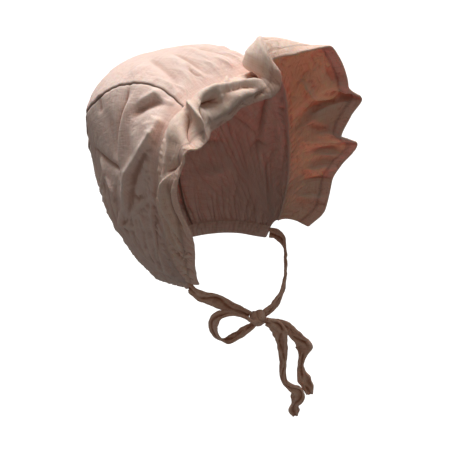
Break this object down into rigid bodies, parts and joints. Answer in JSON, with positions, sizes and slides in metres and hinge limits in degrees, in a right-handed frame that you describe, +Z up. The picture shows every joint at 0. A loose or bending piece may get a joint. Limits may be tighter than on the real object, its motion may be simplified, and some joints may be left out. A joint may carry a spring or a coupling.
{
  "type": "sun bonnet",
  "caption": "Child's soft linen sun bonnet with a panelled crown, a wide gathered brim, a neck casing and ties knotted with a loop under the chin.",
  "frame": {"origin": "inner top of the crown, where the head bears, on the bonnet's middle plane", "axes": "+Z up, the face opening looks to -Y, the wearer's right is -X"},
  "size_m": [0.2045, 0.1905, 0.285],
  "materials": {
    "crown_linen": "washed plain-weave linen, matt",
    "brim_linen": "washed plain-weave linen, matt",
    "casing_linen": "gathered linen casing, matt",
    "tie_linen": "folded linen tape, matt"
  },
  "bodies": {
    "root": {"crown_panel": "crown_linen", "side_panel_right": "crown_linen", "side_panel_left": "crown_linen", "brim": "brim_linen", "neck_band": "casing_linen", "tie_right": "tie_linen", "tie_left": "tie_linen", "bow_loop": "tie_linen", "tie_end_front": "tie_linen", "tie_end_back": "tie_linen", "bow_knot": "tie_linen"}
  },
  "joints": []
}
